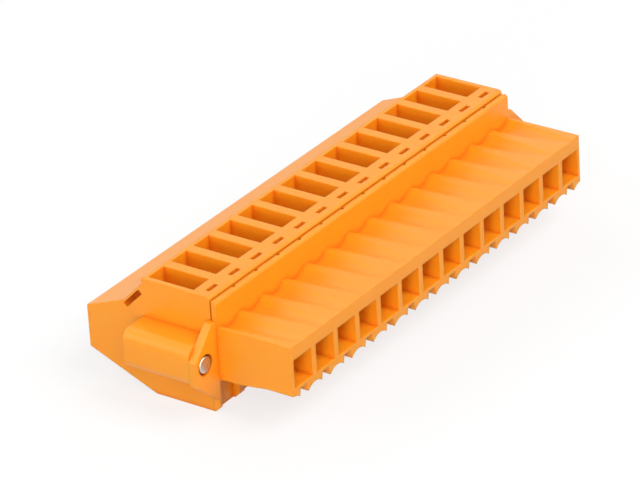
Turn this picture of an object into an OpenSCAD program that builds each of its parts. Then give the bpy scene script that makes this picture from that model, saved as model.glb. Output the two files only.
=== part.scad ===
// Pluggable terminal block: a screw-clamp plug with its wire entries on top,
// its clamp screws in the rear face and a captive screw in a flange at each end.
//
// Frame: X runs along the row of poles, -Y is the mating side, +Z is up.
// The origin is the middle of the footprint, on the surface that the plug lies on.

/* [Row] */
// Number of poles
poles = 14; // [2:1:14]
// Distance from one pole to the next
pitch = 5.08; // [5.08:0.01:5.4]
// Depth from the mating face to the rear face
depth = 33.9; // [33.9:0.1:36]
// Height of the top face
height = 17.4; // [17.4:0.1:20]

/* [Chimneys] */
// Length of the socket chimneys in front of the wall
chimney_len = 11.9; // [11.4:0.1:12.6]
// Height of the socket floors above the bottom
socket_z = 7; // [6.8:0.1:7.2]
// Width of a socket
socket_w = 4.1; // [4:0.05:4.2]
// Height of a socket
socket_h = 4.2; // [4.1:0.05:4.3]
// Height of the chimney ridges above the socket floors
ridge_h = 6.26; // [6.1:0.02:6.6]
// Radius of the scallop over each socket
scallop_r = 2.7; // [2.6:0.05:3]
// Depth of a scallop where it meets the wall
scallop_deep = 1; // [0.6:0.05:1.2]
// Depth of a scallop at the mating face
scallop_shallow = 0.1; // [0.1:0.05:0.5]

/* [Coding channels] */
// Depth of the channel feet below the socket floors
foot_h = 2; // [1.95:0.05:2.2]
// Thickness of the chimneys below the socket floors, between two poles
web_h = 1.1; // [1:0.05:1.3]
// Radius of the relief between two channels
relief_r = 2.2; // [2:0.1:2.6]
// Distance of a channel's middle from the left edge of its pole
channel_x = 2.45; // [2.4:0.05:2.55]
// Width of a channel at its open side
channel_w = 2.05; // [1.8:0.05:2.1]
// Narrowing of a channel on each side towards its roof
channel_taper = 0.3; // [0.1:0.05:0.4]
// Thickness of the plastic between a channel and its socket
channel_roof = 0.5; // [0.4:0.05:0.7]
// Length of a channel from the mating face
channel_len = 10; // [8:0.5:11]
// Thickness of the chimneys below the socket floors, at the wall
root_h = 1.7; // [1.5:0.05:1.9]
// Length of the even part of this thick root
root_len = 3.1; // [2:0.1:4]
// Length of the run from the root to the thin front
root_run = 4.5; // [3:0.1:6]

/* [Front wall] */
// Thickness of the front wall
wall_t = 1; // [0.9:0.05:1.2]
// Drop of the wall's top below the top face
wall_drop = 0.5; // [0.4:0.05:1]
// Radius along the wall's front top edge
wall_round = 0.5; // [0.3:0.05:0.7]
// Thickness of the skirt below the chimneys
skirt_t = 1; // [0.8:0.05:1.2]
// Set-back of the skirt from the face of the wall
skirt_back = 0.55; // [0.4:0.05:0.7]
// Chamfer along the skirt's front bottom edge
skirt_chamfer = 0.7; // [0.5:0.05:0.8]
// Width of the recess in the skirt under each pole
recess_w = 3.8; // [3:0.1:4]
// Width of the notch between two poles at the wall's rear top edge
notch_w = 0.5; // [0.3:0.05:0.8]
// Height of the notch
notch_h = 0.6; // [0.4:0.05:0.8]
// Depth of the notch
notch_t = 0.5; // [0.3:0.05:0.5]
// Gap between the wall and the top block behind it
seam_gap = 0.2; // [0.1:0.05:0.2]

/* [Flanges] */
// Reach of a flange beyond the row
flange_reach = 5; // [4.9:0.05:5.4]
// Thickness of a flange plate
plate_t = 1.25; // [1.1:0.05:1.5]
// Set-back of the flange plates from the face of the wall
plate_back = 0.15; // [0.1:0.01:0.2]
// Height of a plate's flat top, beside the row
plate_high = 14.05; // [13.8:0.05:14.4]
// Length of the flat top
plate_flat = 1; // [0.5:0.05:1.2]
// Height of the upper corner of a plate's outer edge
plate_edge_high = 9.9; // [9.7:0.05:10.4]
// Height of the lower corner of a plate's outer edge
plate_edge_low = 6.35; // [6:0.05:6.6]
// Height of a plate's lowest point, beside the row
plate_low = 2; // [1.6:0.05:2.6]
// Height of the flange screws
flange_screw_z = 8.8; // [8.7:0.05:8.9]
// Distance of the flange screws from the row's ends
flange_screw_x = 2.8; // [2.75:0.05:2.9]
// Height of a flange boss
boss_h = 5.85; // [5.6:0.05:6.2]
// Radius of a boss's long outer edges
boss_round = 1.7; // [1:0.1:2]
// Rear end of the bosses, from the mating face
boss_end = 24.2; // [24:0.1:26]

/* [Flange screws] */
// Thread diameter of a flange screw
flange_thread_d = 2.5; // [2:0.1:2.5]
// Head diameter of a flange screw
flange_head_d = 3.5; // [3.4:0.05:3.6]
// Head height of a flange screw
flange_head_h = 2; // [1.8:0.1:2.4]
// Set-back of the flange screws' heads from the ends of the bosses
flange_head_in = 0.9; // [0.7:0.05:1.1]
// Hole for the thread in the flange plates
flange_hole_d = 3.1; // [3:0.05:3.2]
// Set-back of the screw tips from the face of the plates
flange_tip_in = 0.35; // [0.2:0.05:0.8]

/* [Rear shape] */
// Length of the flat bottom's rear end, from the mating face
bottom_end = 23; // [22:0.1:24]
// Height of the rear face's lower edge
rear_low = 4.45; // [4.2:0.05:4.7]
// Height of the rear face's upper edge
rear_high = 10.8; // [10.6:0.05:11.4]
// Slope of the long rear ramp, in degrees
ramp_slope = 21; // [19:0.5:22]
// Distance of the ramp's steep part from the rear face
ramp_len = 6.45; // [6:0.05:6.6]
// Rear face of the top block, from the mating face
block_end = 24.1; // [24:0.05:24.4]
// Height of the foot of the top block's rear face
block_foot = 16.6; // [16.4:0.05:16.8]
// Chamfer along the front top edge of the top block
block_edge = 0.3; // [0.1:0.05:0.4]

/* [Marker slit] */
// Depth of the slit from the end of the row
slit_deep = 2.5; // [2:0.1:3]
// Length of the slit, down the steep part of the ramp
slit_len = 3.8; // [3.4:0.05:4]
// Thickness of the slit
slit_t = 0.75; // [0.6:0.05:0.9]
// Thickness of the lip over the slit
slit_lip = 0.3; // [0.25:0.05:0.5]
// Distance of the slit's upper end from the top block
slit_start = 1.3; // [1.1:0.05:1.5]

/* [Wire entries] */
// Width of a wire entry
entry_w = 3.5; // [3:0.05:3.9]
// Length of a wire entry
entry_len = 7.55; // [7:0.05:7.6]
// Front edge of the wire entries, from the mating face
entry_start = 16; // [15.9:0.05:16.2]
// Width of a test slot
slot_w = 2.1; // [1.8:0.1:2.6]
// Length of a test slot
slot_len = 0.7; // [0.65:0.05:1]
// Distance from the seam to the test slots
slot_in = 1.05; // [1:0.05:1.5]

/* [Clamps] */
// Height of the clamp screws
screw_z = 7.65; // [7.5:0.05:7.8]
// Thread diameter of a clamp screw
thread_d = 3; // [2.6:0.1:3]
// Head diameter of a clamp screw
head_d = 3.7; // [3.6:0.05:3.8]
// Head height of a clamp screw
head_h = 2.2; // [1.8:0.1:2.4]
// Set-back of the clamp screws' heads from the rear face
head_in = 0.8; // [0.6:0.05:1]
// Travel of a clamp's yoke from open to shut
yoke_travel = 2.8; // [2:0.1:2.8]
// Height of a yoke
yoke_h = 4.4; // [4:0.1:4.6]
// Thickness of a yoke's sides
yoke_side = 0.5; // [0.4:0.05:0.6]
// Thickness of a yoke's jaw
jaw_t = 0.8; // [0.6:0.05:0.9]
// Thickness of the yoke's threaded block
nut_t = 2.4; // [2:0.1:2.4]
// Height of the chamber above the yoke
chamber_over = 2; // [1.8:0.1:2.2]
// Width of a screw's slot
drive_w = 0.6; // [0.5:0.05:0.8]
// Depth of a screw's slot
drive_deep = 0.9; // [0.7:0.05:1]

/* [Contacts] */
// Width of a contact's strap and current bar
strap_w = 2.6; // [2.2:0.1:2.8]
// Thickness of the strap
strap_t = 0.6; // [0.4:0.05:0.7]
// Thickness of the current bar
bar_t = 0.8; // [0.6:0.05:0.9]
// Front face of the current bar, from the mating face
bar_start = 20; // [19.9:0.05:20.2]
// Distance of the current bar's top from the chamber's roof
bar_short = 0.8; // [0.6:0.1:1.2]
// Drop of the strap below the yoke
strap_drop = 0.85; // [0.7:0.05:0.9]
// Front end of the contact's springs, from the mating face
spring_start = 5.4; // [5.2:0.1:6]
// Length of the flared mouth of the springs
spring_mouth = 1.4; // [1:0.1:1.6]
// Flare of a spring at its mouth
spring_flare = 0.5; // [0.4:0.05:0.6]
// Length of the springs' roots, where they leave the strap
spring_root = 2.2; // [2:0.1:2.6]
// Thickness of a spring
spring_t = 0.4; // [0.3:0.05:0.5]
// Height of a spring
spring_h = 2.8; // [2.4:0.1:3]
// Width over the springs where they leave the strap
spring_w = 3.4; // [3:0.1:3.6]
// Gap between the springs where they grip the pin
grip = 0.7; // [0.5:0.05:0.9]

/* [Fits] */
// Clearance of a screw in its bore, on the radius
bore_gap = 0.1; // [0.08:0.01:0.1]
// Clearance round the yokes in their chambers
slide_gap = 0.1; // [0.08:0.01:0.12]
// Clearance of a yoke from its bar and of the strap from its passage, on each side
bar_gap = 0.25; // [0.2:0.01:0.3]
// Clearance at the ends of a yoke's travel
end_gap = 0.3; // [0.25:0.01:0.35]
// Clearance of a thread in its nut, on the radius
thread_gap = 0.05; // [0.04:0.01:0.08]
// Clearance of the contacts over the plastic that carries them
seat_gap = 0.05; // [0.03:0.01:0.1]

/* [Hidden] */
$fn = 48;
cut = 1;

plastic = "#ff9a33";
bright = "#c9c9c6";
nickel = "#b4b2aa";
tinned = "#d0d0cc";

row_w = poles * pitch;
row_half = row_w / 2;

// Stations from the mating face to the rear
seam = chimney_len + wall_t;
skirt_start = chimney_len + skirt_back;
skirt_end = skirt_start + skirt_t;
plate_start = chimney_len + plate_back;
plate_end = plate_start + plate_t;
slot_start = seam + slot_in;

// The underside of the chimneys
under_z = socket_z - foot_h;
wall_top = height - wall_drop;
ridge_z = socket_z + ridge_h;

// The ramp's knee, where its steep part ends
knee_y = depth - ramp_len;
knee_z = rear_high + ramp_len * tan(ramp_slope);

// The clamp of one pole
bar_end = bar_start + bar_t;
screw_tip = bar_end + thread_gap;
nut_start = bar_end + bar_gap;
nut_end = nut_start + nut_t;
jaw_end = bar_start - yoke_travel - bar_gap;
jaw_start = jaw_end - jaw_t;
yoke_w = strap_w + 2 * (bar_gap + yoke_side);
yoke_low = screw_z - yoke_h / 2;
chamber_w = yoke_w + 2 * slide_gap;
chamber_start = jaw_start - end_gap;
chamber_end = nut_end + yoke_travel + end_gap;
chamber_top = screw_z + yoke_h / 2 + chamber_over;
head_out = depth - head_in;
head_seat = head_out - head_h;
shoulder = head_seat - bore_gap;

// The contact of one pole
floor_z = socket_z + seat_gap;
strap_low = yoke_low - strap_drop - strap_t;
drop_start = slot_start + (slot_len - strap_t) / 2;
pit_z = strap_low - seat_gap;
pit_start = drop_start - bar_gap;
bar_top = chamber_top - bar_short;
passage_w = strap_w + 2 * end_gap;
passage_top = socket_z + socket_h;
spring_low = floor_z + strap_t;
spring_back = chimney_len - end_gap;

// The flange screws
flange_tip = plate_start + flange_tip_in;
flange_head_out = boss_end - flange_head_in;
flange_head_seat = flange_head_out - flange_head_h;

function pole_x(i) = (i - (poles - 1) / 2) * pitch;
function two(i) = i < 9 ? str("0", i + 1) : str(i + 1);
function numbered(kind) = [for (i = [0 : poles - 1]) str(kind, "_", two(i))];

// ---------------------------------------------------------------- helpers

// Moves a shape drawn from the mating face into the part's own frame.
module placed() {
    translate([0, -depth / 2, 0]) children();
}

// Repeats a shape at every pole.
module at_poles() {
    for (i = [0 : poles - 1]) translate([pole_x(i), 0, 0]) children();
}

// Repeats a shape at the left end and, mirrored, at the right end of the row.
module at_ends() {
    for (side = [0, 1]) mirror([side, 0, 0]) translate([-row_half, 0, 0]) children();
}

// A box centred in X, from its front bottom edge.
module slab(w, y0, y1, z0, z1) {
    translate([-w / 2, y0, z0]) cube([w, y1 - y0, z1 - z0]);
}

// A round bar along Y.
module rod(d, y0, y1, z) {
    translate([0, y0, z]) rotate([-90, 0, 0]) cylinder(d = d, h = y1 - y0);
}

// Extrudes an outline of (y, z) points along X, centred.
module along_row(w) {
    translate([-w / 2, 0, 0]) rotate([90, 0, 90]) linear_extrude(w) children();
}

// Extrudes an outline of (x, z) points along Y, from y0 to y1.
module along_depth(y0, y1) {
    translate([0, y1, 0]) rotate([90, 0, 0]) linear_extrude(y1 - y0) children();
}

// ---------------------------------------------------------------- front housing

// Cross-section of the plastic under one socket, from the left edge of its pole.
module underside_outline() {
    difference() {
        translate([0, -foot_h]) square([pitch, foot_h]);
        for (x = [0, pitch]) translate([x, -web_h - relief_r]) circle(relief_r);
    }
}

// Cross-section of the coding channel in it, open downwards.
module channel_outline() {
    wide = channel_w / 2;
    narrow = wide - channel_taper;
    translate([channel_x, 0])
        polygon([[-wide, -foot_h - cut], [wide, -foot_h - cut], [wide, -foot_h],
                 [narrow, -channel_roof], [-narrow, -channel_roof], [-wide, -foot_h]]);
}

// The thick root of the chimneys at the wall, running out towards the mating face.
module root_outline() {
    root_start = chimney_len - root_len;
    polygon([[root_start - root_run, socket_z - web_h], [root_start, socket_z - root_h],
             [seam, socket_z - root_h], [seam, socket_z], [root_start - root_run, socket_z]]);
}

// The hollow over a socket: a round groove that deepens towards the wall.
module scallop() {
    tilt = atan((scallop_deep - scallop_shallow) / chimney_len);
    intersection() {
        translate([0, 0, ridge_z - scallop_shallow + scallop_r])
            rotate([-90 - tilt, 0, 0])
            translate([0, 0, -cut])
            cylinder(r = scallop_r, h = chimney_len + 2 * cut);
        slab(pitch, -cut, chimney_len, socket_z, ridge_z + 2 * scallop_r);
    }
}

module wall_outline() {
    top = wall_top;
    polygon([[chimney_len, under_z], [chimney_len, top - wall_round],
             [seam, top - wall_round], [seam, under_z]]);
    translate([chimney_len + wall_round, top - wall_round]) square([wall_t - wall_round, wall_round]);
    intersection() {
        translate([chimney_len + wall_round, top - wall_round]) circle(wall_round);
        translate([chimney_len, top - wall_round]) square(wall_round);
    }
}

module skirt_outline() {
    polygon([[skirt_start, skirt_chamfer], [skirt_start + skirt_chamfer, 0], [skirt_end, 0],
             [skirt_end, under_z], [seam, under_z], [seam, under_z + cut],
             [skirt_start, under_z + cut]]);
}

// Outline of one flange plate, with x growing away from the row.
module plate_outline() {
    polygon([[0, plate_low], [flange_reach, plate_edge_low], [flange_reach, plate_edge_high],
             [plate_flat, plate_high], [0, plate_high]]);
}

module flange_plate() {
    mirror([1, 0, 0]) along_depth(plate_start, plate_end) plate_outline();
}

module front_housing() {
    color(plastic) placed() difference() {
        union() {
            slab(row_w, 0, seam, socket_z, ridge_z);
            at_poles() translate([-pitch / 2, 0, socket_z]) along_depth(0, seam) underside_outline();
            along_row(row_w) root_outline();
            along_row(row_w) wall_outline();
            along_row(row_w) skirt_outline();
            at_ends() flange_plate();
        }
        at_poles() {
            scallop();
            slab(socket_w, -cut, chimney_len, socket_z, socket_z + socket_h);
            slab(passage_w, chimney_len - cut, seam + cut, socket_z, passage_top);
            translate([-pitch / 2, 0, socket_z]) along_depth(-cut, channel_len) channel_outline();
            slab(recess_w, skirt_start - cut, skirt_end + cut, -cut, under_z);
            translate([pitch / 2, 0, 0])
                slab(notch_w, seam - notch_t, seam + cut, wall_top - notch_h, height);
        }
        slab(row_w + 2 * cut, seam - seam_gap, seam + cut, plate_high, height);
        at_ends() translate([-flange_screw_x, 0, 0])
            rod(flange_hole_d, plate_start - cut, plate_end + cut, flange_screw_z);
    }
}

// ---------------------------------------------------------------- rear housing

module rear_outline() {
    polygon([[skirt_end, 0], [bottom_end, 0], [depth, rear_low], [depth, rear_high],
             [knee_y, knee_z], [block_end, block_foot], [block_end, height],
             [seam + block_edge, height], [seam, height - block_edge], [seam, under_z],
             [skirt_end, under_z]]);
}

// Section of one boss, with x growing away from the row.
module boss_outline() {
    low = flange_screw_z - boss_h / 2;
    translate([0, low]) square([flange_reach - boss_round, boss_h]);
    translate([0, low + boss_round]) square([flange_reach, boss_h - 2 * boss_round]);
    for (z = [low + boss_round, low + boss_h - boss_round])
        translate([flange_reach - boss_round, z]) circle(boss_round);
}

module boss() {
    mirror([1, 0, 0]) along_depth(plate_end, boss_end) boss_outline();
}

// Everything that is hollow at one pole.
module pole_hollow() {
    slab(entry_w, entry_start, entry_start + entry_len, chamber_top - cut, height + cut);
    slab(slot_w, slot_start, slot_start + slot_len, passage_top - cut, height + cut);
    slab(chamber_w, chamber_start, chamber_end, pit_z, chamber_top);
    slab(passage_w, seam - cut, chamber_start + cut, socket_z, passage_top);
    slab(passage_w, pit_start, chamber_start + cut, pit_z, passage_top);
    rod(thread_d + 2 * bore_gap, chamber_end - cut, depth, screw_z);
    rod(head_d + 2 * bore_gap, shoulder, depth + cut, screw_z);
}

// The narrow slit for a marker strip, under the steep part of the ramp.
module marker_slit() {
    steep = atan((block_foot - knee_z) / (knee_y - block_end));
    translate([0, block_end, block_foot]) rotate([-steep, 0, 0])
        translate([-cut, slit_start, -slit_lip - slit_t]) cube([slit_deep + cut, slit_len, slit_t]);
}

module rear_housing() {
    color(plastic) placed() difference() {
        union() {
            along_row(row_w) rear_outline();
            at_ends() boss();
        }
        at_poles() pole_hollow();
        at_ends() {
            marker_slit();
            translate([-flange_screw_x, 0, 0]) {
                rod(flange_thread_d + 2 * bore_gap, plate_end - cut, boss_end, flange_screw_z);
                rod(flange_head_d + 2 * bore_gap, flange_head_seat - bore_gap, boss_end + cut,
                    flange_screw_z);
            }
        }
    }
}

// ---------------------------------------------------------------- contacts and clamps

// One spring of the female contact, in plan.
module spring_outline() {
    out = spring_w / 2;
    root_y = spring_back - spring_root;
    waist_y = spring_start + spring_mouth;
    waist = grip / 2;
    mouth = waist + spring_flare;
    polygon([[out - spring_t, spring_back], [out, spring_back], [out, root_y],
             [waist + spring_t, waist_y], [mouth + spring_t, spring_start],
             [mouth, spring_start], [waist, waist_y], [out - spring_t, root_y]]);
}

module contact(i) {
    color(tinned) placed() translate([pole_x(i), 0, 0]) {
        slab(spring_w, spring_back - spring_root, spring_back, floor_z, floor_z + strap_t);
        slab(strap_w, spring_back - cut, drop_start + strap_t, floor_z, floor_z + strap_t);
        slab(strap_w, drop_start, drop_start + strap_t, strap_low, floor_z + strap_t);
        slab(strap_w, drop_start, bar_end, strap_low, strap_low + strap_t);
        slab(strap_w, bar_start, bar_end, strap_low, bar_top);
        translate([0, 0, spring_low]) linear_extrude(spring_h)
            for (side = [0, 1]) mirror([side, 0]) spring_outline();
    }
}

module clamp_yoke(i) {
    color(nickel) placed() translate([pole_x(i), 0, 0]) difference() {
        slab(yoke_w, jaw_start, nut_end, yoke_low, yoke_low + yoke_h);
        slab(yoke_w - 2 * yoke_side, jaw_end, nut_start, yoke_low - cut, yoke_low + yoke_h + cut);
        rod(thread_d + 2 * thread_gap, nut_start - cut, nut_end + cut, screw_z);
    }
}

// A slotted cheese-head screw along Y, with its head at the rear.
module slotted_screw(thread, head, tip, seat, out, z) {
    difference() {
        union() {
            rod(thread, tip, seat + cut, z);
            rod(head, seat, out, z);
        }
        slab(head + cut, out - drive_deep, out + cut, z - drive_w / 2, z + drive_w / 2);
    }
}

module clamp_screw(i) {
    color(bright) placed() translate([pole_x(i), 0, 0])
        slotted_screw(thread_d, head_d, screw_tip, head_seat, head_out, screw_z);
}

module flange_screw() {
    color(bright) placed() translate([-row_half - flange_screw_x, 0, 0])
        slotted_screw(flange_thread_d, flange_head_d, flange_tip, flange_head_seat,
                      flange_head_out, flange_screw_z);
}

module flange_screw_left() {
    flange_screw();
}

module flange_screw_right() {
    mirror([1, 0, 0]) flange_screw();
}

front_housing();
rear_housing();
for (i = [0 : poles - 1]) {
    contact(i);
    clamp_yoke(i);
    clamp_screw(i);
}
flange_screw_left();
flange_screw_right();
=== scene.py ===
"""Looks of the pluggable terminal block: moulded plastic, metal parts, threaded screws and the stage.

Laid out as an add-on: each operator finishes one group of pieces, and main() calls them in order.
All lengths are in metres, in the frame of the CAD part: X along the row of poles, -Y the mating
side, +Z up, with the origin in the middle of the footprint.
"""

import math

import bpy
from bpy.props import FloatProperty, FloatVectorProperty, PointerProperty
from mathutils import Matrix, Vector


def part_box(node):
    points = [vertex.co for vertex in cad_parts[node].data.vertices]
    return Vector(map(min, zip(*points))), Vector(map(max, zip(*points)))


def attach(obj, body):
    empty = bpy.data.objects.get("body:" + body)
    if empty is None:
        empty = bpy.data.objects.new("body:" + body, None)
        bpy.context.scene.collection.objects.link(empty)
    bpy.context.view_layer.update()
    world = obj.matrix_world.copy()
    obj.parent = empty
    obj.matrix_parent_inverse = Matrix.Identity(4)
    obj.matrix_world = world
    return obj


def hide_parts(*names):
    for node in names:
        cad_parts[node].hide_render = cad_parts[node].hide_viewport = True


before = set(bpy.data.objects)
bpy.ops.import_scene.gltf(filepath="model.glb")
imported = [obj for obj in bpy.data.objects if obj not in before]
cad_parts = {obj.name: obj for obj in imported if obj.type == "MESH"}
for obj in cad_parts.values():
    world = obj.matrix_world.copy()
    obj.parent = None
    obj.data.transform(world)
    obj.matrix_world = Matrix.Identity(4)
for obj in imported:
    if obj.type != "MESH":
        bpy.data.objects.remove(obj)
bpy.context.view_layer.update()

bl_info = {
    "name": "Pluggable Terminal Block",
    "version": (1, 0, 0),
    "blender": (4, 5, 0),
    "location": "3D View > Sidebar > Terminal Block",
    "description": "Finishes the pieces of a pluggable terminal block and sets its stage",
    "category": "Object",
}

HOUSINGS = ["front_housing", "rear_housing"]
CONTACTS = [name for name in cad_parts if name.startswith("contact_")]
YOKES = [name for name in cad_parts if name.startswith("clamp_yoke_")]
CLAMP_SCREWS = sorted(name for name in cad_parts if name.startswith("clamp_screw_"))
FLANGE_SCREWS = ["flange_screw_left", "flange_screw_right"]

ROUND = 48  # sides of a round bar
THREAD_STEPS = 24  # steps of a thread in one turn
THREAD_WIDTH = 0.92  # width of a thread's ridge at its root, in leads
THREAD_DEPTH = 0.61  # depth of a thread below its crest, in leads
CUTTER_LENGTH = 2.2  # length of the slot cutter, in radii of the head
SMOOTH = math.radians(35)  # faces that meet at less than this angle are shaded as one
NEAR = 0.00001  # metres within which two points count as one
SLOT_STEP = math.radians(137.5)  # turn from one screw's slot to the next one's
FILM = 36.0  # width of the camera's film in millimetres

# The first input, the second input and the output of a Mix node, by what it mixes.
MIX_SOCKETS = {"RGBA": (6, 7, 2), "VECTOR": (4, 5, 1)}

# Softboxes that face the part: name, place, width and power in watts.
LAMPS = (
    ("near_softbox", (-0.65, -0.55, 0.55), 0.6, 3.4),
    ("high_softbox", (0.10, -0.60, 0.80), 0.6, 5.6),
    ("rear_softbox", (0.30, 0.90, 0.50), 0.6, 2.5),
    ("left_softbox", (-0.60, 0.60, 0.50), 0.6, 2.1),
    ("right_softbox", (0.90, 0.10, 0.35), 0.6, 1.8),
    ("low_softbox", (-0.80, -0.30, 0.14), 0.25, 2.2),
)


# ------------------------------------------------------------------ sizes and colours


def length(name, description, default):
    """A small length that a user may change."""
    return FloatProperty(
        name=name, description=description, default=default, min=0.0, unit="LENGTH", precision=5
    )


def share(name, description, default):
    """A number from 0 to 1."""
    return FloatProperty(
        name=name, description=description, default=default, min=0.0, max=1.0, subtype="FACTOR"
    )


def colour(name, description, default):
    """A linear colour without alpha."""
    return FloatVectorProperty(
        name=name, description=description, default=default, min=0.0, max=1.0, size=3, subtype="COLOR"
    )


class PlugPlastic(bpy.types.PropertyGroup):
    """Finish of the orange mouldings."""

    body: colour("Body", "Colour of the moulded plastic", (0.99, 0.340, 0.008))
    warm: colour("Warm patches", "Colour where the pigment is a little denser", (0.985, 0.325, 0.006))
    # Painted shade: the plastic's colour turns towards this in inner corners and narrow gaps, where
    # shade falls.
    painted_corner_shade: colour("Deep corners", "Colour in inner corners and narrow gaps", (0.84, 0.215, 0.004))
    edge_radius: length("Edge radius", "Softness of the moulded edges", 0.00022)
    grain: length("Grain", "Size of the grain of the mould's surface", 0.00016)
    roughness: share("Roughness", "Mean roughness of the plastic", 0.42)


class PlugScrews(bpy.types.PropertyGroup):
    """Sizes of the screws beyond those of their CAD solids."""

    clamp_thread: length("Clamp thread", "Diameter of the clamp screws' thread", 0.0030)
    clamp_lead: length("Clamp lead", "Advance of the clamp screws' thread in one turn", 0.0005)
    flange_thread: length("Flange thread", "Diameter of the flange screws' thread", 0.0025)
    flange_lead: length("Flange lead", "Advance of the flange screws' thread in one turn", 0.00045)
    flange_reach: length("Flange reach", "How far a flange screw's tip stands beyond its solid", 0.0003)
    clamp_threaded: length(
        "Clamp thread's end", "Where a clamp screw's thread ends, from its tip", 0.0098
    )
    flange_threaded: length(
        "Flange thread's end", "Where a flange screw's thread ends, from its tip", 0.0045
    )
    head: length("Head height", "Height of a screw's head", 0.0020)
    drive_width: length("Slot width", "Width of the slot in a screw's head", 0.0006)
    drive_depth: length("Slot depth", "Depth of the slot in a screw's head", 0.0009)
    pilot: length("Pilot", "Length of the plain pilot at a screw's tip", 0.0007)
    pilot_play: length("Pilot play", "How far the pilot lies below the thread's crest", 0.00002)
    point: length("Point", "Rounding of the pilot's rim", 0.00022)
    rim: length("Rim", "Rounding of the rim of a screw's head", 0.00018)


class PlugMetal(bpy.types.PropertyGroup):
    """Finish of the metal pieces."""

    zinc: colour("Zinc plating", "Colour of the screws", (0.66, 0.65, 0.63))
    nickel: colour("Nickel plating", "Colour of the clamp yokes", (0.60, 0.58, 0.54))
    tin: colour("Tin plating", "Colour of the contacts", (0.68, 0.68, 0.67))
    scratch: length("Scratch spacing", "Distance between fine tool marks", 0.00012)


class PlugStage(bpy.types.PropertyGroup):
    """Camera, lamps and floor."""

    eye: FloatVectorProperty(
        name="Eye", description="Place of the camera", default=(-0.450313, -0.330553, 0.302488),
        size=3, subtype="TRANSLATION", unit="LENGTH",
    )
    azimuth: FloatProperty(
        name="Azimuth", description="Direction from which the camera looks, 0 being the mating side",
        default=math.radians(-53.43), subtype="ANGLE",
    )
    elevation: FloatProperty(
        name="Elevation", description="Height of the camera above the horizon",
        default=math.radians(27.74), subtype="ANGLE",
    )
    roll: FloatProperty(
        name="Roll", description="Turn of the camera about its own line of sight",
        default=math.radians(-3.526), subtype="ANGLE",
    )
    lens: FloatProperty(
        name="Lens", description="Focal length of the camera in millimetres on a 36 mm wide film",
        default=255.39, min=10.0,
    )
    sky: share("Sky", "Strength of the light from all round", 0.22)
    floor_colour: colour("Floor", "Colour of the floor as it is seen", (0.96, 0.96, 0.96))
    floor_bounce: colour("Bounce", "Colour that the floor throws back onto the part", (0.45, 0.45, 0.45))
    floor_shade: share("Floor shade", "How much of its light and shadow the white floor shows", 0.25)
    floor_half: length("Floor size", "Half the width of the floor", 2.5)


# ------------------------------------------------------------------ materials


class Field:
    """A value or a socket of a node tree, so that shader maths reads as Python expressions."""

    def __init__(self, tree, socket):
        self.tree = tree
        self.socket = socket

    def _math(self, operation, *values):
        return self.tree.node("ShaderNodeMath", {"operation": operation}, dict(enumerate(values)))[0]

    def __add__(self, other):
        return self._math("ADD", self, other)

    def __mul__(self, other):
        return self._math("MULTIPLY", self, other)

    def __or__(self, other):
        return self._math("MAXIMUM", self, other)

    __radd__ = __add__
    __rmul__ = __mul__
    __ror__ = __or__


class Outputs:
    """The outputs of a node, by name or number."""

    def __init__(self, tree, node):
        self.tree = tree
        self.node = node

    def __getitem__(self, key):
        return Field(self.tree, self.node.outputs[key])


class Tree:
    """The node tree of a material or of the world."""

    def __init__(self, owner):
        owner.use_nodes = True
        self.nodes = owner.node_tree.nodes
        self.links = owner.node_tree.links

    def node(self, kind, settings=None, inputs=None):
        """Makes a node. Settings are its properties, or a ramp's stops; inputs are values or links."""
        made = self.nodes.new(kind)
        for key, value in (settings or {}).items():
            if key == "stops":
                self._ramp(made.color_ramp.elements, value)
            else:
                setattr(made, key, value)
        for key, value in (inputs or {}).items():
            if isinstance(value, Field):
                self.links.new(value.socket, made.inputs[key])
            else:
                made.inputs[key].default_value = value
        return Outputs(self, made)

    def _ramp(self, elements, stops):
        """Gives a ramp those stops, each a position and a level of grey."""
        while len(elements) < len(stops):
            elements.new(0.5)
        for element, (position, level) in zip(elements, stops):
            element.position = position
            element.color = (level, level, level, 1.0)

    def seen(self):
        """1 where something is looked at, also in a mirror or through glass, and 0 for other light."""
        path = self.node("ShaderNodeLightPath")
        return path["Is Camera Ray"] | path["Is Glossy Ray"] | path["Is Transmission Ray"]


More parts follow.
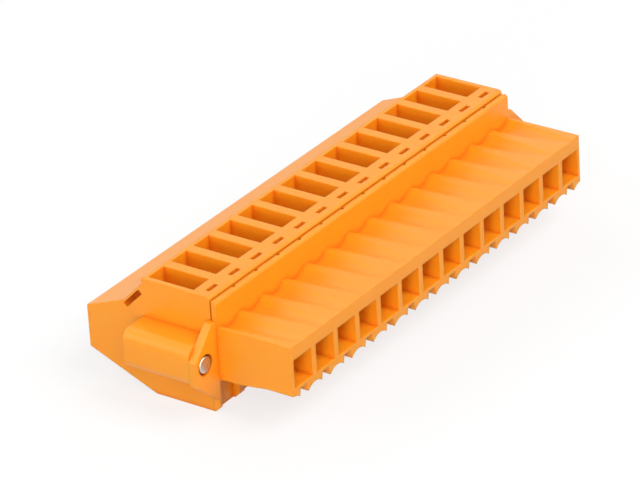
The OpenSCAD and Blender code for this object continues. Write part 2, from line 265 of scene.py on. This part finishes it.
class Finish(Tree):
    """One node-based material and its Principled shader."""

    def __init__(self, name, **constants):
        self.material = bpy.data.materials.new(name)
        super().__init__(self.material)
        self.shader = self.nodes["Principled BSDF"]
        for socket, value in constants.items():
            self.shader.inputs[socket.replace("_", " ")].default_value = value
        self.place = self.node("ShaderNodeTexCoord")["Object"]

    def noise(self, size, detail, stretch=(1.0, 1.0, 1.0)):
        """Noise from 0 to 1 with features of about that size, in metres."""
        mapping = self.node("ShaderNodeMapping", None, {"Vector": self.place, "Scale": stretch})
        settings = {"noise_dimensions": "3D"}
        inputs = {"Vector": mapping["Vector"], "Scale": 1.0 / size, "Detail": detail}
        return self.node("ShaderNodeTexNoise", settings, inputs)["Fac"]

    def ramp(self, value, start, end, rising=True):
        """A factor that goes from 0 to 1, or from 1 to 0, while the value goes from start to end."""
        first, last = (0.0, 1.0) if rising else (1.0, 0.0)
        settings = {"stops": ((start, first), (end, last))}
        return self.node("ShaderNodeValToRGB", settings, {"Fac": value})["Color"]

    def blend(self, kind, factor, first, second):
        """The first colour or vector where the factor is 0, and the second where it is 1."""
        a, b, result = MIX_SOCKETS[kind]
        inputs = {0: factor, a: first, b: second}
        return self.node("ShaderNodeMix", {"data_type": kind}, inputs)[result]

    def mix(self, factor, first, second):
        """Mix of two colours, each a socket or three numbers."""
        pair = [tint if isinstance(tint, Field) else (*tint, 1.0) for tint in (first, second)]
        return self.blend("RGBA", factor, *pair)

    def openness(self, reach):
        """1 on open faces and edges, falling towards 0 in corners and recesses within that reach."""
        inputs = {"Distance": reach}
        return self.node("ShaderNodeAmbientOcclusion", {"samples": 8}, inputs)["AO"]

    def rounded(self, radius, where=None):
        """Normal with the sharp edges rounded off, everywhere or by a factor from 0 to 1."""
        soft = self.node("ShaderNodeBevel", {"samples": 6}, {"Radius": radius})["Normal"]
        if where is None:
            return soft
        flat = self.node("ShaderNodeNewGeometry")["Normal"]
        return self.blend("VECTOR", where, flat, soft)

    def bump(self, height, distance, strength, normal):
        """That normal, tilted by the slopes of a height from 0 to 1 times the distance."""
        inputs = {"Height": height, "Distance": distance, "Strength": strength, "Normal": normal}
        return self.node("ShaderNodeBump", None, inputs)["Normal"]

    def feed(self, **sockets):
        """Links values to the shader's sockets and gives back the material."""
        for name, value in sockets.items():
            self.links.new(value.socket, self.shader.inputs[name.replace("_", " ")])
        return self.material


def moulded_plastic(plastic):
    """Satin orange polyamide: a fine grain, soft sink marks, a slightly uneven pigment, and painted
    shade that darkens the colour in inner corners and narrow gaps.
    """
    finish = Finish(
        "moulded_orange_plastic",
        Specular_IOR_Level=0.5,
        IOR=1.5,
        Subsurface_Weight=0.4,
        Subsurface_Radius=(1.0, 0.3, 0.1),
        Subsurface_Scale=0.0007,
    )
    pigment = finish.ramp(finish.noise(size=0.009, detail=3.0), start=0.35, end=0.70)
    sink = finish.noise(size=0.0035, detail=1.0)
    grain = finish.noise(size=plastic.grain, detail=2.0)
    gloss = finish.noise(size=0.0022, detail=3.0)
    gloss_spread = 0.16
    open_edge = finish.ramp(finish.openness(reach=0.0005), start=0.72, end=0.92)
    normal = finish.rounded(plastic.edge_radius, open_edge)
    normal = finish.bump(sink, distance=0.00006, strength=0.5, normal=normal)
    normal = finish.bump(grain, distance=0.000006, strength=0.6, normal=normal)
    # Painted shade: an ambient-occlusion mask that darkens the colour in inner corners and narrow gaps.
    painted_shade_mask = finish.ramp(finish.openness(reach=0.0011), start=0.40, end=0.85, rising=False)
    body = finish.mix(pigment, plastic.body, plastic.warm)
    return finish.feed(
        Base_Color=finish.mix(painted_shade_mask, body, plastic.painted_corner_shade),
        Roughness=gloss * gloss_spread + (plastic.roughness - gloss_spread / 2),
        Normal=normal,
    )


def plated_metal(name, tint, metal, roughness, radius):
    """Plated metal with fine tool marks and soft stains."""
    finish = Finish(name, Metallic=1.0)
    stain = finish.ramp(finish.noise(size=0.0016, detail=3.0), start=0.30, end=0.75)
    marks = finish.noise(size=metal.scratch, detail=2.0, stretch=(1.0, 0.15, 1.0))
    dull_share, mark_spread, stain_spread = 0.82, 0.14, 0.08
    dull = [channel * dull_share for channel in tint]
    normal = finish.rounded(radius)
    return finish.feed(
        Base_Color=finish.mix(stain, tint, dull),
        Roughness=marks * mark_spread + stain * stain_spread + (roughness - stain_spread),
        Normal=finish.bump(marks, distance=0.000004, strength=0.5, normal=normal),
    )


def dress(names, material):
    """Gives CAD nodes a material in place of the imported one."""
    for name in names:
        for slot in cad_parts[name].material_slots:
            slot.material = material


# ------------------------------------------------------------------ modelling


def alone(*pieces):
    """Selects just these pieces and makes the first one active."""
    bpy.ops.object.select_all(action="DESELECT")
    for piece in pieces:
        piece.select_set(True)
    bpy.context.view_layer.objects.active = pieces[0]


def settle(piece):
    """Moves a piece's place and turn into its mesh."""
    alone(piece)
    bpy.ops.object.transform_apply(location=True, rotation=True, scale=True)


def rod(name, radius, low, high):
    """A round bar on the Y axis."""
    bpy.ops.object.select_all(action="DESELECT")
    bpy.ops.mesh.primitive_cylinder_add(
        vertices=ROUND, radius=radius, depth=high - low,
        location=(0.0, (low + high) / 2, 0.0), rotation=(math.radians(90), 0.0, 0.0),
    )
    piece = bpy.context.object
    piece.name = name
    settle(piece)
    return piece


def round_rim(piece, y, width, segments):
    """Rounds the rim of a bar at that end."""
    alone(piece)
    bpy.ops.object.mode_set(mode="EDIT")
    bpy.ops.mesh.select_mode(type="EDGE")
    bpy.ops.mesh.select_all(action="DESELECT")
    bpy.ops.object.mode_set(mode="OBJECT")
    for edge in piece.data.edges:
        edge.select = all(abs(piece.data.vertices[i].co.y - y) < NEAR for i in edge.vertices)
    bpy.ops.object.mode_set(mode="EDIT")
    bpy.ops.mesh.bevel(offset=width, segments=segments)
    bpy.ops.object.mode_set(mode="OBJECT")


def thread_ridge(name, crest, lead, low, high):
    """The helical ridge of a 60-degree thread on the Y axis, closed at both ends."""
    side = THREAD_WIDTH * lead
    corner = side / math.sqrt(3)
    bpy.ops.object.select_all(action="DESELECT")
    bpy.ops.mesh.primitive_circle_add(
        vertices=3, radius=corner, location=(crest - corner, 0.0, 0.0),
        rotation=(0.0, 0.0, math.radians(-90)),
    )
    piece = bpy.context.object
    piece.name = name
    settle(piece)
    turn = piece.modifiers.new("turn", "SCREW")
    turn.axis = "Y"
    turn.screw_offset = lead
    turn.iterations = max(1, int((high - low - side) / lead))
    turn.steps = turn.render_steps = THREAD_STEPS
    bpy.ops.object.modifier_apply(modifier=turn.name)
    bpy.ops.object.mode_set(mode="EDIT")
    bpy.ops.mesh.select_all(action="SELECT")
    bpy.ops.mesh.fill_holes(sides=4)
    bpy.ops.mesh.select_all(action="SELECT")
    bpy.ops.mesh.normals_make_consistent(inside=False)
    bpy.ops.object.mode_set(mode="OBJECT")
    piece.location = (0.0, low + side / 2, 0.0)
    settle(piece)
    return piece


def cut_slot(piece, radius, out, width, depth):
    """Cuts the driver slot across the head of a screw."""
    bpy.ops.object.select_all(action="DESELECT")
    bpy.ops.mesh.primitive_cube_add(
        size=1.0, location=(0.0, out, 0.0), scale=(CUTTER_LENGTH * radius, 2 * depth, width)
    )
    cutter = bpy.context.object
    alone(piece)
    slot = piece.modifiers.new("slot", "BOOLEAN")
    slot.operation = "DIFFERENCE"
    slot.solver = "EXACT"
    slot.object = cutter
    bpy.ops.object.modifier_apply(modifier=slot.name)
    bpy.data.objects.remove(cutter, do_unlink=True)


def slotted_screw(name, node, thread, lead, threaded, sizes, reach=0.0):
    """A threaded, slotted screw on the Y axis, as wide as the CAD node and longer by the reach."""
    low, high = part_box(node)
    tip, out = low[1] - reach, high[1]
    seat = out - sizes.head
    head_radius = (high[0] - low[0]) / 2
    core_radius = thread / 2 - THREAD_DEPTH * lead
    core = rod(name, core_radius, tip + sizes.pilot / 2, seat + NEAR)
    pilot = rod("pilot", thread / 2 - sizes.pilot_play, tip, tip + sizes.pilot)
    round_rim(pilot, tip, sizes.point, segments=4)
    head = rod("head", head_radius, seat, out)
    round_rim(head, out, sizes.rim, segments=3)
    cut_slot(head, head_radius, out, sizes.drive_width, sizes.drive_depth)
    ridge = thread_ridge("ridge", thread / 2, lead, tip + sizes.pilot / 2, tip + threaded)
    alone(core, pilot, head, ridge)
    bpy.ops.object.join()
    bpy.ops.object.shade_smooth_by_angle(angle=SMOOTH)
    return core


def set_screw(master, node, turned, material):
    """Puts a copy of a screw in the place of a CAD node, with its slot turned by that angle."""
    low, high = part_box(node)
    alone(master)
    bpy.ops.object.duplicate()
    piece = bpy.context.object
    piece.name = f"{node}_threaded"
    piece.rotation_euler = (0.0, turned, 0.0)
    piece.location = ((low[0] + high[0]) / 2, 0.0, (low[2] + high[2]) / 2)
    settle(piece)
    piece.data.materials.append(material)
    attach(piece, node)
    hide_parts(node)


# ------------------------------------------------------------------ operators


class PLUG_OT_housings(bpy.types.Operator):
    """Finish the front and rear housing as moulded plastic"""

    bl_idname = "plug.housings"
    bl_label = "Housings"

    def execute(self, context):
        dress(HOUSINGS, moulded_plastic(context.scene.plug_plastic))
        return {"FINISHED"}


class PLUG_OT_contacts(bpy.types.Operator):
    """Finish the contacts as tinned bronze"""

    bl_idname = "plug.contacts"
    bl_label = "Contacts"

    def execute(self, context):
        metal = context.scene.plug_metal
        tin = plated_metal("tinned_bronze", metal.tin, metal, roughness=0.34, radius=0.00005)
        dress(CONTACTS, tin)
        return {"FINISHED"}


class PLUG_OT_yokes(bpy.types.Operator):
    """Finish the clamp yokes as nickel-plated brass"""

    bl_idname = "plug.yokes"
    bl_label = "Clamp yokes"

    def execute(self, context):
        metal = context.scene.plug_metal
        nickel = plated_metal("nickel_plating", metal.nickel, metal, roughness=0.30, radius=0.00008)
        dress(YOKES, nickel)
        return {"FINISHED"}


class PLUG_OT_screws(bpy.types.Operator):
    """Put threaded, slotted screws of zinc-plated steel in the place of the plain ones"""

    bl_idname = "plug.screws"
    bl_label = "Screws"

    def execute(self, context):
        metal, sizes = context.scene.plug_metal, context.scene.plug_screws
        zinc = plated_metal("zinc_plating", metal.zinc, metal, roughness=0.32, radius=0.00006)
        clamp = slotted_screw(
            "clamp_master",
            CLAMP_SCREWS[0],
            thread=sizes.clamp_thread,
            lead=sizes.clamp_lead,
            threaded=sizes.clamp_threaded,
            sizes=sizes,
        )
        flange = slotted_screw(
            "flange_master",
            FLANGE_SCREWS[0],
            thread=sizes.flange_thread,
            lead=sizes.flange_lead,
            threaded=sizes.flange_threaded,
            sizes=sizes,
            reach=sizes.flange_reach,
        )
        for index, node in enumerate(CLAMP_SCREWS + FLANGE_SCREWS):
            master = flange if node in FLANGE_SCREWS else clamp
            set_screw(master, node, index * SLOT_STEP, zinc)
        for master in (clamp, flange):
            bpy.data.objects.remove(master, do_unlink=True)
        return {"FINISHED"}


class PLUG_OT_stage(bpy.types.Operator):
    """Set the floor, the soft lamps, the world and the camera"""

    bl_idname = "plug.stage"
    bl_label = "Stage"

    def execute(self, context):
        stage = context.scene.plug_stage
        self.floor(stage)
        self.world(context.scene, stage)
        self.lamps()
        self.camera(context.scene, stage)
        context.scene.view_settings.view_transform = "Standard"
        return {"FINISHED"}

    def floor(self, stage):
        """A pale floor that is nearly white to look at and throws little light back."""
        bpy.ops.object.select_all(action="DESELECT")
        bpy.ops.mesh.primitive_plane_add(size=2 * stage.floor_half, location=(0, 0, 0))
        floor = bpy.context.object
        floor.name = "floor"
        finish = Finish("pale_floor", Specular_IOR_Level=0.1)
        base = finish.mix(finish.seen(), stage.floor_bounce, stage.floor_colour)
        smoothest, spread = 0.85, 0.1
        rough = finish.noise(size=0.4, detail=2.0) * spread + smoothest
        floor.data.materials.append(finish.feed(Base_Color=base, Roughness=rough))
        lit = Outputs(finish, finish.shader)["BSDF"]
        white = finish.node("ShaderNodeEmission")["Emission"]
        whiteness = finish.seen() * (1.0 - stage.floor_shade)
        look = finish.node("ShaderNodeMixShader", None, {0: whiteness, 1: lit, 2: white})["Shader"]
        finish.links.new(look.socket, finish.nodes["Material Output"].inputs["Surface"])

    def world(self, scene, stage):
        """A world that is white to look at and lights the part more softly."""
        world = bpy.data.worlds.new("studio")
        tree = Tree(world)
        backdrop = tree.nodes["Background"]
        backdrop.inputs["Color"].default_value = (1.0, 1.0, 1.0, 1.0)
        strength = tree.seen() * (1.0 - stage.sky) + stage.sky
        tree.links.new(strength.socket, backdrop.inputs["Strength"])
        scene.world = world

    def lamps(self):
        """All the softboxes."""
        for name, place, size, power in LAMPS:
            self.softbox(name, place, size, power)

    def softbox(self, name, place, size, power):
        """One square lamp that faces the part."""
        data = bpy.data.lights.new(name, "AREA")
        data.shape = "SQUARE"
        data.size = size
        data.energy = power
        lamp = bpy.data.objects.new(name, data)
        bpy.context.scene.collection.objects.link(lamp)
        lamp.location = place
        lamp.rotation_euler = (-lamp.location).to_track_quat("-Z", "Y").to_euler()

    def camera(self, scene, stage):
        """The camera, turned to the stage's azimuth and elevation and rolled about its line of sight."""
        data = bpy.data.cameras.new("camera")
        data.lens = stage.lens
        data.sensor_width = FILM
        data.clip_start = 0.05
        data.clip_end = 20.0
        camera = bpy.data.objects.new("camera", data)
        scene.collection.objects.link(camera)
        across = math.cos(stage.elevation)
        back = Vector(
            (
                math.sin(stage.azimuth) * across,
                -math.cos(stage.azimuth) * across,
                math.sin(stage.elevation),
            )
        )
        turn = (-back).to_track_quat("-Z", "Y").to_matrix().to_4x4()
        camera.matrix_world = Matrix.Translation(stage.eye) @ turn @ Matrix.Rotation(stage.roll, 4, "Z")
        scene.camera = camera


class PLUG_PT_panel(bpy.types.Panel):
    """Terminal block"""

    bl_idname = "PLUG_PT_panel"
    bl_label = "Terminal Block"
    bl_space_type = "VIEW_3D"
    bl_region_type = "UI"
    bl_category = "Terminal Block"

    def draw(self, context):
        for operator in OPERATORS:
            self.layout.operator(operator.bl_idname)
        scene = context.scene
        for group in (scene.plug_plastic, scene.plug_screws, scene.plug_metal, scene.plug_stage):
            box = self.layout.box()
            for name in group.bl_rna.properties.keys():
                if name not in ("rna_type", "name"):
                    box.prop(group, name)


OPERATORS = (
    PLUG_OT_housings,
    PLUG_OT_contacts,
    PLUG_OT_yokes,
    PLUG_OT_screws,
    PLUG_OT_stage,
)
CLASSES = (PlugPlastic, PlugScrews, PlugMetal, PlugStage, *OPERATORS, PLUG_PT_panel)


def register():
    """Registers the classes and hangs their values on the scene."""
    for cls in CLASSES:
        bpy.utils.register_class(cls)
    bpy.types.Scene.plug_plastic = PointerProperty(type=PlugPlastic)
    bpy.types.Scene.plug_screws = PointerProperty(type=PlugScrews)
    bpy.types.Scene.plug_metal = PointerProperty(type=PlugMetal)
    bpy.types.Scene.plug_stage = PointerProperty(type=PlugStage)


def unregister():
    """Takes away what register() adds."""
    del bpy.types.Scene.plug_plastic
    del bpy.types.Scene.plug_screws
    del bpy.types.Scene.plug_metal
    del bpy.types.Scene.plug_stage
    for cls in reversed(CLASSES):
        bpy.utils.unregister_class(cls)


def main():
    """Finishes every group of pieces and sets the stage."""
    register()
    bpy.ops.plug.housings()
    bpy.ops.plug.contacts()
    bpy.ops.plug.yokes()
    bpy.ops.plug.screws()
    bpy.ops.plug.stage()


if __name__ == "__main__":
    main()
